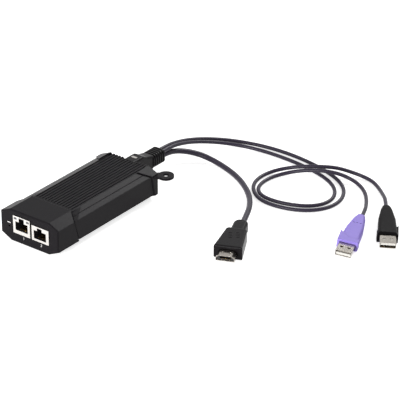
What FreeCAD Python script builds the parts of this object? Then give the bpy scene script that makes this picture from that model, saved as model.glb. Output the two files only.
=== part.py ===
import FreeCAD, Part
import math
import os
import re
import Sketcher
from FreeCAD import Rotation, Vector

# A small console extender module: a ribbed plastic housing with two modular jacks at the
# front, two fixing ears and a strain relief at the rear, and three fixed cords, one with a
# video plug and two with flat shielded plugs.
# Millimetres. The origin is the centre of the flat underside of the housing, the jack face
# looks along -Y, the cords leave along +Y and +Z is up.

document = FreeCAD.newDocument("console_extender")
sheet = document.addObject("Spreadsheet::Sheet", "Sizes")

housingSizes = {
    "case_length": 116.0,
    "side_room": 8.2,
    "roof_room": 3.9,
    "top_flat_width": 36.8,
    "shoulder_drop": 4.0,
    "bottom_flat_width": 36.0,
    "bottom_rise": 4.5,
    "cap_wall": 1.8,
    "front_wall": 2.0,
    "rear_wall": 2.0,
    "front_edge_radius": 1.2,
    "rear_edge_radius": 1.6,
    "cover_inset": 0.9,
    "cover_wall": 2.0,
    "lip_clearance": 0.15,
    "lip_reach": 3.0,
    "lip_end_gap": 1.2,
    "joint_gap": 0.45,
    "front_cap_depth": 25.0,
    "front_corner_depth": 18.0,
    "front_foot_depth": 23.2,
    "rear_cap_reach": 14.8,
    "rear_corner_depth": 7.5,
    "rear_cap_depth": 4.1,
    "roof_slot_edge": 0.6,
    "facet_corner_depth": 22.0,
    "facet_edge_depth": 36.5,
    "facet_drop": 0.7,
    "seam_spacing": 44.8,
    "seam_gap": 0.3,
    "rib_count": 13,
    "rib_pitch": 2.8,
    "groove_top_width": 1.7,
    "groove_floor_width": 1.1,
    "groove_depth": 0.8,
    "groove_margin": 2.2,
    "ear_across": 32.4,
    "ear_back": 2.6,
    "ear_height": 19.9,
    "ear_thickness": 1.9,
    "ear_diameter": 12.4,
    "ear_hole_diameter": 4.6,
    "ear_tab_width": 8.4,
    "ear_root": 6.0,
    "screw_spacing_across": 29.0,
    "screw_row_front": 33.0,
    "screw_row_rear": 14.0,
    "screw_diameter": 3.0,
    "screw_length": 14.0,
    "screw_head_diameter": 5.6,
    "screw_head_height": 1.7,
    "screw_recess": 0.4,
    "screw_clearance": 0.2,
    "screw_cross_length": 3.0,
    "screw_cross_width": 0.7,
    "screw_cross_depth": 0.9,
    "post_diameter": 7.0,
}

insideSizes = {
    "board_height": 8.1,
    "board_thickness": 1.6,
    "board_side_gap": 3.5,
    "board_front_gap": 3.0,
    "board_rear_gap": 3.6,
    "video_chip_size": 14.0,
    "video_chip_height": 1.4,
    "network_chip_size": 10.0,
    "network_chip_height": 1.0,
    "chip_bevel": 0.3,
    "transformer_length": 16.0,
    "transformer_width": 9.0,
    "transformer_height": 6.0,
    "crystal_length": 11.0,
    "crystal_width": 4.6,
    "crystal_height": 3.5,
    "capacitor_diameter": 6.3,
    "capacitor_height": 7.7,
    "capacitor_pitch": 9.0,
    "capacitor_across": -16.0,
    "capacitor_back": 32.0,
    "video_chip_across": 8.0,
    "video_chip_along": 62.0,
    "network_chip_across": -10.0,
    "network_chip_along": 46.0,
    "transformer_across": 0.0,
    "transformer_along": 33.0,
    "crystal_across": -10.0,
    "crystal_along": 53.6,
    "header_width": 22.0,
    "header_depth": 5.0,
    "header_height": 5.5,
    "header_pitch": 2.0,
    "header_pins": 10,
    "header_pin_width": 0.5,
    "header_pin_lift": 0.5,
    "header_gap": 8.0,
    "reset_across": -19.3,
    "reset_height": 11.9,
    "pinhole_diameter": 1.8,
    "switch_width": 6.2,
    "switch_height": 6.4,
    "switch_depth": 3.6,
    "switch_setback": 3.4,
    "switch_back_wall": 0.8,
    "plunger_end_gap": 0.8,
    "plunger_diameter": 2.6,
    "plunger_clearance": 0.25,
    "plunger_wall_gap": 0.5,
    "reset_travel": 0.25,
}

jackSizes = {
    "jack_width": 16.0,
    "jack_depth": 21.5,
    "jack_proud": 0.5,
    "jack_sheet": 0.35,
    "jack_room": 0.5,
    "insert_gap": 0.08,
    "insert_depth": 19.0,
    "contact_pitch": 1.02,
    "contact_width": 0.45,
    "contact_thickness": 0.25,
    "contact_lift": 0.15,
    "contact_count": 8,
    "contact_length": 8.0,
    "contact_slope": 22.0,
    "contact_setback": 2.6,
    "cavity_depth": 13.0,
    "jack_one_left": -14.9,
    "jack_one_height": 14.0,
    "one_cavity_left": -12.8,
    "one_cavity_width": 11.8,
    "one_cavity_floor": 2.8,
    "one_cavity_height": 7.0,
    "one_latch_left": -9.5,
    "one_latch_width": 5.0,
    "one_latch_height": 3.4,
    "lamp_width": 2.6,
    "lamp_height": 1.5,
    "lamp_depth": 6.0,
    "lamp_top_gap": 1.2,
    "lamp_side_gap": 0.5,
    "jack_two_left": 2.9,
    "jack_two_height": 11.8,
    "two_cavity_left": 4.8,
    "two_cavity_width": 11.6,
    "two_cavity_floor": 1.7,
    "two_cavity_height": 6.8,
    "two_latch_left": 7.9,
    "two_latch_width": 4.6,
    "two_latch_height": 2.3,
}

cableSizes = {
    "gland_width": 10.4,
    "gland_top": 24.9,
    "gland_floor": 9.8,
    "gland_front": 3.0,
    "gland_block_end": 10.0,
    "gland_edge_radius": 1.6,
    "gland_slope_end": 15.0,
    "gland_slope_top": 22.3,
    "gland_notch_gap": 0.2,
    "gland_seat_gap": 0.2,
    "flange_width": 16.0,
    "flange_depth": 3.2,
    "flange_top": 22.0,
    "relief_start": 21.0,
    "relief_end": 35.0,
    "relief_width": 12.0,
    "relief_top": 21.0,
    "relief_radius": 3.0,
    "ring_count": 5,
    "ring_pitch": 2.5,
    "ring_groove": 0.9,
    "ring_depth": 1.0,
    "ring_first": 1.3,
    "window_width": 4.9,
    "window_depth": 2.0,
    "window_thickness": 0.8,
    "window_proud": 0.1,
    "window_back": 5.0,
    "video_cord_diameter": 4.4,
    "thin_cord_diameter": 3.0,
    "shell_sheet": 0.4,
    "video_yaw": 23.3,
    "video_collar_length": 16.0,
    "video_collar_height": 9.6,
    "video_collar_width": 11.0,
    "video_collar_radius": 4.8,
    "video_collar_edge": 2.4,
    "video_collar_sink": 3.0,
    "video_collar_groove": 0.5,
    "video_groove_start": 3.4,
    "video_grip_length": 29.0,
    "video_grip_back_width": 15.4,
    "video_grip_front_width": 21.4,
    "video_grip_height": 10.6,
    "video_grip_radius": 1.2,
    "video_shoulder_radius": 2.6,
    "video_shell_width": 13.9,
    "video_shell_narrow": 9.8,
    "video_shell_height": 4.45,
    "video_shell_step": 2.5,
    "video_shell_length": 8.8,
    "video_shell_root": 8.0,
    "video_shell_floor": 3.1,
    "video_dent_width": 1.6,
    "video_dent_length": 2.4,
    "video_dent_spacing": 5.2,
    "video_dent_setback": 3.4,
    "video_dent_depth": 0.2,
    "video_mouth_height": 1.9,
    "video_mouth_rim": 0.3,
    "video_liner_setback": 1.2,
    "video_contact_width": 0.3,
    "video_contact_pitch": 1.0,
    "video_contact_thickness": 0.1,
    "video_contact_setback": 1.5,
    "video_low_contacts": 9,
    "video_high_contacts": 8,
    "flat_grip_length": 44.5,
    "flat_grip_back_width": 5.4,
    "flat_grip_waist": 6.0,
    "flat_grip_waist_width": 8.8,
    "flat_grip_swell": 20.0,
    "flat_grip_swell_width": 12.9,
    "flat_grip_front_width": 15.0,
    "flat_grip_height": 8.2,
    "flat_grip_radius": 2.3,
    "flat_grip_bend_radius": 20.0,
    "flat_band_start": 29.5,
    "flat_band_side": 9.2,
    "flat_band_bend": 35.0,
    "flat_band_middle": 39.0,
    "flat_band_lift": 0.35,
    "flat_band_foot": 1.2,
    "flat_band_radius": 0.8,
    "flat_slot_place": 14.6,
    "flat_slot_pitch": 2.5,
    "flat_slot_length": 0.9,
    "flat_slot_width": 1.6,
    "flat_slot_depth": 0.5,
    "flat_shell_width": 12.0,
    "flat_shell_height": 4.5,
    "flat_shell_length": 11.8,
    "flat_shell_root": 7.0,
    "flat_shell_floor": 1.85,
    "flat_window_size": 2.2,
    "flat_window_spacing": 5.4,
    "flat_window_setback": 5.0,
    "seat_overlap": 1.0,
    "tongue_thickness": 1.9,
    "tongue_setback": 0.6,
    "pad_count": 4,
    "pad_pitch": 2.2,
    "pad_width": 1.1,
    "pad_length": 7.0,
    "pad_setback": 2.0,
    "pad_thickness": 0.15,
    "purple_yaw": 20.5,
    "purple_roll": -6.0,
    "black_yaw": 34.5,
    "black_roll": 177.0,
    "tool_margin": 6.0,
    "cut_past": 1.0,
}

# The cords lie as they were put down, so their points are chosen by hand.
videoRoute = [
    (0.2, 93.0, 13.0), (0.2, 101.5, 13.0), (1.4, 112.0, 11.2), (6.2, 122.0, 8.0), (14.0, 127.8, 5.2),
    (25.0, 129.4, 3.0), (40.3, 126.0, 2.2), (56.6, 119.0, 2.2), (70.8, 109.5, 2.2), (82.6, 98.6, 2.2),
    (91.8, 86.4, 3.2), (99.6, 72.68, 4.8), (106.32, 57.07, 4.8),
]
upperRoute = [
    (-1.1, 93.0, 18.0), (-1.1, 102.0, 18.0), (-2.0, 115.5, 16.0), (-1.0, 133.0, 12.0), (4.5, 149.0, 8.0),
    (14.7, 162.5, 4.6), (29.5, 171.8, 2.4), (47.3, 176.6, 1.5), (67.3, 176.7, 1.5), (86.3, 174.2, 1.5),
    (104.3, 169.9, 1.5), (120.3, 162.9, 1.5), (132.3, 152.8, 1.5), (139.3, 139.3, 1.5), (139.9, 124.8, 1.5),
    (133.3, 112.3, 1.5), (121.3, 103.8, 1.5), (106.3, 99.9, 1.5), (91.5, 100.6, 1.5), (79.6, 107.8, 1.5),
    (71.2, 118.8, 1.5), (68.3, 131.8, 1.5), (70.9, 144.0, 1.9), (79.0, 151.4, 4.2), (90.4, 156.8, 7.0),
    (102.4, 163.3, 8.0), (113.0, 170.4, 7.4), (122.3, 176.4, 4.2), (132.0, 179.4, 1.9), (142.0, 177.4, 1.5),
    (151.6, 170.9, 1.5), (160.6, 162.4, 2.8), (168.95, 153.47, 4.9), (177.16, 141.52, 4.9),
]
lowerRoute = [
    (2.3, 93.0, 18.0), (2.3, 102.0, 18.0), (1.8, 114.8, 16.0), (3.0, 130.4, 12.0), (8.0, 144.8, 8.0),
    (17.0, 157.0, 4.6), (30.5, 165.2, 2.4), (47.3, 168.8, 1.5), (66.3, 168.6, 1.5), (84.3, 166.7, 1.5),
    (101.3, 163.2, 1.5), (116.3, 157.0, 1.5), (127.3, 147.8, 1.5), (133.5, 136.0, 1.5), (132.7, 123.8, 1.5),
    (125.2, 114.2, 1.5), (112.8, 108.2, 1.5), (99.3, 105.6, 1.5), (87.2, 107.0, 1.5), (78.7, 114.0, 1.5),
    (75.2, 124.2, 1.5), (75.6, 135.4, 1.5), (79.6, 145.0, 1.9), (88.0, 151.0, 4.4), (99.0, 155.0, 7.2),
    (109.8, 159.6, 8.0), (119.0, 164.8, 6.4), (127.8, 168.2, 3.2), (137.0, 166.4, 1.5), (146.6, 159.2, 1.5),
    (154.4, 149.6, 1.5), (160.6, 139.6, 2.9), (165.64, 130.79, 4.7), (170.23, 118.52, 4.7),
]

sizes = {**housingSizes, **insideSizes, **jackSizes, **cableSizes}
for row, (alias, number) in enumerate(sizes.items(), start=1):
    sheet.set(f"A{row}", alias)
    sheet.set(f"B{row}", str(number))
    sheet.setAlias(f"B{row}", alias)

# The section is as wide and as high as what the front face holds.
derivedSizes = {
    "case_width": "=2 * (side_room - reset_across)",
    "case_height": "=board_height + jack_one_height + roof_room",
}
for row, (alias, formula) in enumerate(derivedSizes.items(), start=len(sizes) + 1):
    sheet.set(f"A{row}", alias)
    sheet.set(f"B{row}", formula)
    sheet.setAlias(f"B{row}", alias)
document.recompute()

pieces = []
halfLength = "case_length / 2"
halfWidth = "case_width / 2"
frontFace = "-case_length / 2"
views = {
    "plan": Rotation(),
    "front": Rotation(Vector(1, 0, 0), 90),
    "side": Rotation(Vector(1, 1, 1), 120),
}


def size(alias):
    return float(sheet.get(alias))


def bind(item, **expressions):
    """A property's dots are written as double underscores."""
    for name, expression in expressions.items():
        sheetNames = re.sub(r"[a-z]+(?:_[a-z0-9]+)+", r"Sizes.\g<0>", str(expression))
        item.setExpression(name.replace("__", "."), sheetNames)


def moveTo(item, x, y, z):
    bind(item, Placement__Base__x=x, Placement__Base__y=y, Placement__Base__z=z)


def keep(item, label):
    item.Label = label
    pieces.append(item)
    return item


def drawPolygon(sketch, corners):
    """Lines through the corners, each held by its two distances from the sketch's origin."""
    count = len(corners)
    ring = [Vector(math.cos(2 * math.pi * i / count), math.sin(2 * math.pi * i / count), 0) * 10
            for i in range(count)]
    for i in range(count):
        sketch.addGeometry(Part.LineSegment(ring[i], ring[(i + 1) % count]), False)
    for i in range(count):
        sketch.addConstraint(Sketcher.Constraint("Coincident", i, 2, (i + 1) % count, 1))
    for i, (across, up) in enumerate(corners):
        for kind, letter, expression in (("DistanceX", "x", across), ("DistanceY", "y", up)):
            index = sketch.addConstraint(Sketcher.Constraint(kind, -1, 1, i, 1, 1.0))
            sketch.renameConstraint(index, f"corner{letter}{i}")
            bind(sketch, **{f"Constraints__corner{letter}{i}": expression})


def drawing(name, view, corners, at=("0", "0", "0")):
    sketch = document.addObject("Sketcher::SketchObject", name + "_outline")
    sketch.Placement.Rotation = views[view]
    moveTo(sketch, *at)
    drawPolygon(sketch, corners)
    return sketch


def prism(name, view, corners, length, at=("0", "0", "0")):
    """A plan outline rises, a front outline runs to the rear and a side outline to the right."""
    item = document.addObject("Part::Extrusion", name)
    item.Base = drawing(name, view, corners, at)
    item.DirMode = "Normal"
    item.Solid = True
    item.Reversed = view == "front"
    bind(item, LengthFwd=length)
    return item


def box(name, x, y, z, length, width, height):
    item = document.addObject("Part::Box", name)
    bind(item, Length=length, Width=width, Height=height)
    moveTo(item, x, y, z)
    return item


def middleBox(name, y, z, length, width, height):
    return box(name, f"-({length}) / 2", y, z, length, width, height)


def rod(name, axis, x, y, z, diameter, length):
    item = document.addObject("Part::Cylinder", name)
    turns = {"X": Rotation(Vector(0, 1, 0), 90), "Y": Rotation(Vector(1, 0, 0), -90), "Z": Rotation()}
    item.Placement.Rotation = turns[axis]
    bind(item, Radius=f"({diameter}) / 2", Height=length)
    moveTo(item, x, y, z)
    return item


def join(name, shapes):
    item = document.addObject("Part::MultiFuse", name)
    item.Shapes = shapes
    item.Refine = True
    return item


def shared(name, shapes):
    item = document.addObject("Part::MultiCommon", name)
    item.Shapes = shapes
    item.Refine = True
    return item


def cut(name, base, tools):
    """One tool is used as it is and several are joined first."""
    item = document.addObject("Part::Cut", name)
    item.Base = base
    item.Tool = tools[0] if len(tools) == 1 else join(name + "_tools", tools)
    item.Refine = True
    return item


def mirrored(name, source):
    item = document.addObject("Part::Mirroring", name)
    item.Source = source
    item.Normal = Vector(1, 0, 0)
    return item


def rounded(name, base, radius, test):
    """Rounds the edges of the base that pass the test, which gets an edge's middle and direction."""
    document.recompute()
    item = document.addObject("Part::Fillet", name)
    item.Base = base
    numbers = []
    for number, edge in enumerate(base.Shape.Edges, start=1):
        middle = edge.valueAt((edge.FirstParameter + edge.LastParameter) / 2)
        direction = edge.tangentAt((edge.FirstParameter + edge.LastParameter) / 2)
        if test(middle, direction):
            numbers.append(number)
    value = size(radius)
    item.Edges = [(number, value, value) for number in numbers]
    return item


def along(direction, axis):
    return abs(abs(getattr(direction, axis)) - 1) < 1e-6


# Housing

def flatShift(drop, run):
    """How far a corner on a flat moves inwards for each millimetre of inset."""
    return f"((sqrt(1 + (({drop}) / ({run}))^2) - 1) / (({drop}) / ({run})))"


def wallShift(drop, run):
    """How far a corner on an upright side moves for each millimetre of inset."""
    return f"(sqrt(1 + (({drop}) / ({run}))^2) - ({drop}) / ({run}))"


def octagon(inset):
    """The housing's section, all sides moved inwards by the inset."""
    topRun = f"({halfWidth} - top_flat_width / 2)"
    bottomRun = f"({halfWidth} - bottom_flat_width / 2)"
    side = f"({halfWidth} - ({inset}))"
    top = f"(top_flat_width / 2 - ({inset}) * {flatShift('shoulder_drop', topRun)})"
    bottom = f"(bottom_flat_width / 2 - ({inset}) * {flatShift('bottom_rise', bottomRun)})"
    high = f"case_height - shoulder_drop - ({inset}) * {wallShift('shoulder_drop', topRun)}"
    low = f"bottom_rise + ({inset}) * {wallShift('bottom_rise', bottomRun)}"
    roof = f"case_height - ({inset})"
    floor = f"{inset}"
    return [
        (f"-{bottom}", floor), (bottom, floor), (side, low), (side, high),
        (top, roof), (f"-{top}", roof), (f"-{side}", high), (f"-{side}", low),
    ]


def jointWedge(name, cornerDepth, edgeDepth, footDepth, keepFront, grow):
    """What lies past the slanted joint of a cap at the right-hand shoulder and side.

    The joint is one plane. It meets the upper corner of the side at cornerDepth, the edge of
    the top flat at edgeDepth and the foot of the side at footDepth, all from the front face.
    """
    cornerZ = "(case_height - shoulder_drop)"
    lean = f"((({footDepth}) - ({cornerDepth})) / ({cornerZ} - bottom_rise))"
    highZ = "(case_height + tool_margin)"
    lowZ = "(-tool_margin)"
    start = f"({frontFace} + ({cornerDepth}) + ({grow}))"
    highY = f"{start} - {lean} * ({highZ} - {cornerZ})"
    lowY = f"{start} + {lean} * ({cornerZ} - {lowZ})"
    farY = f"{halfLength} + tool_margin" if keepFront else f"{frontFace} - tool_margin"
    item = document.addObject("Part::Extrusion", name)
    corners = [(highY, highZ), (lowY, lowZ), (farY, lowZ), (farY, highZ)]
    item.Base = drawing(name, "side", corners, (halfWidth, "0", "0"))
    item.DirMode = "Custom"
    item.Solid = True
    inwards = f"({halfWidth} - top_flat_width / 2)"
    backwards = f"(({edgeDepth}) - ({cornerDepth}))"
    bind(item, Dir__x=f"-{inwards}", Dir__y=backwards, Dir__z="shoulder_drop")
    reach = f"sqrt({inwards}^2 + {backwards}^2 + shoulder_drop^2)"
    bind(item, LengthFwd=f"{reach} * 1.5", LengthRev=f"{reach} * 0.5")
    return item


def frontRoom(name, grow):
    """The space of the front cap, with its rear joint moved back by the gap."""
    block = middleBox(name + "_block", f"{frontFace} - tool_margin", "-tool_margin",
                      "case_width + 2 * tool_margin", f"front_cap_depth + ({grow}) + tool_margin",
                      "case_height + 2 * tool_margin")
    right = jointWedge(name + "_right", "front_corner_depth", "front_cap_depth", "front_foot_depth", True, grow)
    left = mirrored(name + "_left", right)
    return cut(name, block, [right, left])


def rearRoom(name, grow):
    """The space of the rear cap: a plate across the end and a corner reaching over each shoulder."""
    plate = middleBox(name + "_plate", f"{halfLength} - rear_cap_depth - ({grow})", "-tool_margin",
                      "case_width + 2 * tool_margin", "rear_cap_depth + 2 * tool_margin",
                      "case_height + 2 * tool_margin")
    corner = box(name + "_corner", f"top_flat_width / 2 - ({grow})",
                 f"{halfLength} - rear_cap_reach - ({grow})", f"bottom_rise - ({grow})",
                 f"{halfWidth} + tool_margin", f"rear_cap_reach", "case_height + tool_margin")
    wedge = jointWedge(name + "_wedge", "case_length - rear_corner_depth", "case_length - rear_cap_reach",
                       "case_length - rear_cap_depth", False, f"-({grow})")
    right = cut(name + "_right", corner, [wedge])
    left = mirrored(name + "_left", right)
    return join(name, [plate, right, left])


def roofSlot(name, grow):
    """Where the ribbed roof of the top cover passes over the rear cap's plate."""
    return middleBox(name, f"{halfLength} - rear_cap_depth - tool_margin",
                     f"case_height - cover_inset - cover_wall - joint_gap + ({grow})",
                     f"top_flat_width - 2 * (roof_slot_edge + ({grow}))", "rear_cap_depth + 3 * tool_margin",
                     "case_height")


def glandNotch(name):
    """The gap in the roof and the rear plate that the strain relief stands in."""
    return middleBox(name, f"{halfLength} - gland_front - gland_notch_gap", "gland_floor - gland_notch_gap",
                     "gland_width + 2 * gland_notch_gap", "gland_front + tool_margin", "case_height")


def screwPlaces():
    """The four screws, as distances across and along."""
    for across in ("screw_spacing_across / 2", "-screw_spacing_across / 2"):
        for along in (f"{frontFace} + screw_row_front", f"{halfLength} - screw_row_rear"):
            yield across, along


def jackOpening(depth):
    """One stepped opening around both jacks, with the same room all round."""
    low = "board_height - jack_room"
    left = "jack_one_left - jack_room"
    step = "jack_one_left + jack_width + jack_room"
    right = "jack_two_left + jack_width + jack_room"
    high = "board_height + jack_one_height + jack_room"
    lower = "board_height + jack_two_height + jack_room"
    corners = [(left, low), (right, low), (right, lower), (step, lower), (step, high), (left, high)]
    return prism("jack_opening", "front", corners, depth, ("0", f"{frontFace} - tool_margin", "0"))


def frontCap():
    outer = prism("front_cap_outer", "front", octagon("0"), "front_cap_depth", ("0", frontFace, "0"))
    block = shared("front_cap_block", [outer, frontRoom("front_cap_room", "0")])
    bevelled = rounded("front_cap_rounded", block, "front_edge_radius",
                       lambda middle, direction: abs(middle.y + size("case_length") / 2) < 1e-3)
    hollow = prism("front_cap_hollow", "front", octagon("cap_wall"), "front_cap_depth + tool_margin",
                   ("0", f"{frontFace} + front_wall", "0"))
    pinhole = rod("pinhole", "Y", "reset_across", f"{frontFace} - tool_margin", "reset_height",
                  "pinhole_diameter", "tool_margin + front_wall + cut_past")
    opening = jackOpening("tool_margin + front_wall + cut_past")
    keep(cut("front_cap", bevelled, [hollow, pinhole, opening]), "front_cap")


def rearCap():
    outer = prism("rear_cap_outer", "front", octagon("0"), "rear_cap_reach",
                  ("0", f"{halfLength} - rear_cap_reach", "0"))
    block = shared("rear_cap_block", [outer, rearRoom("rear_cap_room", "0")])
    bevelled = rounded("rear_cap_rounded", block, "rear_edge_radius",
                       lambda middle, direction: abs(middle.y - size("case_length") / 2) < 1e-3)
    hollow = prism("rear_cap_hollow", "front", octagon("cap_wall"), "rear_cap_reach + tool_margin - rear_wall",
                   ("0", f"{halfLength} - rear_cap_reach - tool_margin", "0"))
    earY = f"{halfLength} + ear_back"
    earZ = "ear_height - ear_thickness / 2"
    ring = rod("ear_ring", "Z", "ear_across", earY, earZ, "ear_diameter", "ear_thickness")
    half = "ear_tab_width / 2 / sqrt(2)"
    corners = [
        (f"ear_across + {half}", f"{earY} - {half}"),
        (f"ear_across - {half}", f"{earY} + {half}"),
        (f"{halfWidth} - ear_root", f"{halfLength} - rear_wall / 2"),
        (f"{halfWidth} - cap_wall / 2", f"{halfLength} - ear_root"),
    ]
    tab = prism("ear_tab", "plan", corners, "ear_thickness", ("0", "0", earZ))
    hole = rod("ear_hole", "Z", "ear_across", earY, f"{earZ} - cut_past", "ear_hole_diameter",
               "ear_thickness + 2 * cut_past")
    eared = join("rear_cap_eared", [bevelled, ring, tab])
    openings = [hollow, glandNotch("rear_cap_notch"), roofSlot("roof_slot", "0"), hole]
    keep(cut("rear_cap", eared, openings), "rear_cap")


def shoulderFacet():
    """What is planed off the start of each shoulder band, deepest where it meets the front cap."""
    shoulder = f"(shoulder_drop / ({halfWidth} - top_flat_width / 2))"
    bandZ = f"(case_height - shoulder_drop - cover_inset * sqrt(1 + {shoulder}^2))"
    rearY = f"({frontFace} + facet_corner_depth)"
    frontY = f"({frontFace} + front_corner_depth)"
    corners = [(rearY, bandZ), (f"{frontY} - tool_margin", f"{bandZ} - facet_drop"),
               (f"{frontY} - tool_margin", f"{bandZ} + tool_margin"), (rearY, f"{bandZ} + tool_margin")]
    item = document.addObject("Part::Extrusion", "facet_right")
    item.Base = drawing("facet_right", "side", corners, (halfWidth, "0", "0"))
    item.DirMode = "Custom"
    item.Solid = True
    inwards = f"({halfWidth} - top_flat_width / 2)"
    backwards = "(facet_edge_depth - facet_corner_depth)"
    bind(item, Dir__x=f"-{inwards}", Dir__y=backwards, Dir__z="shoulder_drop")
    reach = f"sqrt({inwards}^2 + {backwards}^2 + shoulder_drop^2)"
    bind(item, LengthFwd=f"{reach} * 0.95", LengthRev=f"{reach} * 0.3")
    return [item, mirrored("facet_left", item)]


def coverRing():
    """The wall of both covers: an outer skin between the joints and an inner lip inside the caps."""
    lipInset = "(cap_wall + lip_clearance)"
    start = f"{frontFace} + front_corner_depth"
    run = "case_length - front_corner_depth"
    skinOuter = prism("skin_outer", "front", octagon("cover_inset"), run, ("0", start, "0"))
    rearJoint = cut("rear_joint", rearRoom("rear_joint_room", "joint_gap"), [roofSlot("rear_joint_slot", "joint_gap")])
    ends = [frontRoom("front_joint", "joint_gap"), rearJoint] + shoulderFacet()
    skinCut = cut("skin_ends", skinOuter, ends)
    lipStart = f"{start} - lip_reach"
    lipRun = f"{run} + lip_reach - rear_wall - lip_end_gap"
    lipOuter = prism("lip_outer", "front", octagon(lipInset), lipRun, ("0", lipStart, "0"))
    solid = join("cover_solid", [skinCut, lipOuter])
    inside = prism("cover_inside", "front", octagon("cover_inset + cover_wall"), "case_length + 2 * tool_margin",
                   ("0", f"{frontFace} - tool_margin", "0"))
    return cut("cover_ring", solid, [inside])


def seamBox(name, grow):
    """The part of the section that belongs to the top cover."""
    return middleBox(name, f"{frontFace} - tool_margin", "case_height / 2", f"seam_spacing + ({grow})",
                     "case_length + 2 * tool_margin", "case_height")


def topCover(ring):
    shell = shared("top_shell", [ring, seamBox("seam_inner", "-seam_gap")])
    grooves = []
    roof = "case_height - cover_inset"
    start = f"{frontFace} + front_cap_depth + joint_gap + groove_margin"
    run = "case_length - front_cap_depth - joint_gap - groove_margin"
    for i in range(int(size("rib_count"))):
        middle = f"({i} - (rib_count - 1) / 2) * rib_pitch"
        corners = [
            (f"{middle} - groove_floor_width / 2", f"{roof} - groove_depth"),
            (f"{middle} + groove_floor_width / 2", f"{roof} - groove_depth"),
            (f"{middle} + groove_top_width / 2", f"{roof} + groove_depth"),
            (f"{middle} - groove_top_width / 2", f"{roof} + groove_depth"),
        ]
        grooves.append(prism(f"groove_{i + 1}", "front", corners, run, ("0", start, "0")))
    ribbed = cut("top_ribbed", shell, grooves)
    posts = []
    bores = []
    postTop = "case_height - cover_inset - cover_wall / 2"
    for i, (across, along) in enumerate(screwPlaces()):
        posts.append(rod(f"top_post_{i + 1}", "Z", across, along, "board_height", "post_diameter",
                         f"{postTop} - board_height"))
        bores.append(rod(f"top_bore_{i + 1}", "Z", across, along, "board_height - cut_past",
                         "screw_diameter + 2 * screw_clearance",
                         "cover_inset + screw_recess + screw_length + 2 * cut_past - board_height"))
    solid = join("top_posted", [ribbed] + posts)
    keep(cut("top_cover", solid, bores + [glandNotch("roof_notch")]), "top_cover")


def bottomCover(ring):
    shell = cut("bottom_shell", ring, [seamBox("seam_outer", "seam_gap")])
    posts = []
    bores = []
    underside = "cover_inset"
    seat = "board_height - board_thickness"
    for i, (across, along) in enumerate(screwPlaces()):
        posts.append(rod(f"low_post_{i + 1}", "Z", across, along, f"{underside} + cover_wall / 2",
                         "post_diameter", f"{seat} - {underside} - cover_wall / 2"))
        bores.append(rod(f"low_bore_{i + 1}", "Z", across, along, "-cut_past",
                         "screw_diameter + 2 * screw_clearance", f"{seat} + 2 * cut_past"))
        bores.append(rod(f"low_recess_{i + 1}", "Z", across, along, "-cut_past",
                         "screw_head_diameter + 2 * screw_clearance",
                         f"cut_past + {underside} + screw_recess + screw_head_height"))
    solid = join("bottom_posted", [shell] + posts)
    keep(cut("bottom_cover", solid, bores), "bottom_cover")


def coverScrews():
    """Four pan-head screws from below, each with a cross recess."""
    underside = "cover_inset + screw_recess"
    solids = []
    for i, (across, along) in enumerate(screwPlaces()):
        head = rod(f"screw_head_{i + 1}", "Z", across, along, underside, "screw_head_diameter", "screw_head_height")
        shank = rod(f"screw_shank_{i + 1}", "Z", across, along, underside, "screw_diameter", "screw_length")
        screw = join(f"screw_{i + 1}", [head, shank])
        slots = []
        for name, length, width in (("a", "screw_cross_length", "screw_cross_width"),
                                    ("b", "screw_cross_width", "screw_cross_length")):
            slots.append(box(f"screw_slot_{i + 1}{name}", f"{across} - {length} / 2", f"{along} - {width} / 2",
                             f"{underside} - cut_past", length, width, "screw_cross_depth + cut_past"))
        solids.append(cut(f"screw_slotted_{i + 1}", screw, slots))
    item = document.addObject("Part::Compound", "cover_screws")
    item.Links = solids
    keep(item, "cover_screws")


# Board and what stands on it

def mainBoard():
    width = "case_width - 2 * board_side_gap"
    start = f"{frontFace} + board_front_gap"
    slab = middleBox("board_slab", start, "board_height - board_thickness", width,
                     "case_length - board_front_gap - board_rear_gap", "board_thickness")
    holes = [rod(f"board_hole_{i + 1}", "Z", across, along, "0", "screw_diameter + 2 * screw_clearance",
                 "case_height") for i, (across, along) in enumerate(screwPlaces())]
    keep(cut("main_board", slab, holes), "main_board")


def chip(name, across, along, length, width, height):
    """A moulded package with a bevelled top edge."""
    block = box(name + "_block", f"{across} - ({length}) / 2", f"{along} - ({width}) / 2", "board_height",
                length, width, height)
    document.recompute()
    item = document.addObject("Part::Chamfer", name)
    item.Base = block
    top = max(vertex.Z for vertex in block.Shape.Vertexes)
    bevel = size("chip_bevel")
    item.Edges = [(number, bevel, bevel) for number, edge in enumerate(block.Shape.Edges, start=1)
                  if all(abs(vertex.Z - top) < 1e-6 for vertex in edge.Vertexes)]
    keep(item, name)


def capacitors():
    solids = []
    for i in range(2):
        solids.append(rod(f"capacitor_{i + 1}", "Z", f"capacitor_across + {i} * capacitor_pitch",
                          f"{halfLength} - capacitor_back", "board_height", "capacitor_diameter",
                          "capacitor_height"))
    item = document.addObject("Part::Compound", "supply_capacitors")
    item.Links = solids
    keep(item, "supply_capacitors")


def cableHeader():
    """The pin strip that the cords' inner leads are plugged on to."""
    along = f"{halfLength} - board_rear_gap - header_gap - header_depth"
    strip = middleBox("header_strip", along, "board_height", "header_width", "header_depth", "header_height / 2")
    pins = []
    for i in range(int(size("header_pins"))):
        across = f"({i} - (header_pins - 1) / 2) * header_pitch - header_pin_width / 2"
        pins.append(box(f"header_pin_{i + 1}", across, f"{along} + header_depth / 2 - header_pin_width / 2",
                        "board_height + header_pin_lift", "header_pin_width", "header_pin_width",
                        "header_height"))
    keep(join("cable_header", [strip] + pins), "cable_header")


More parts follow.
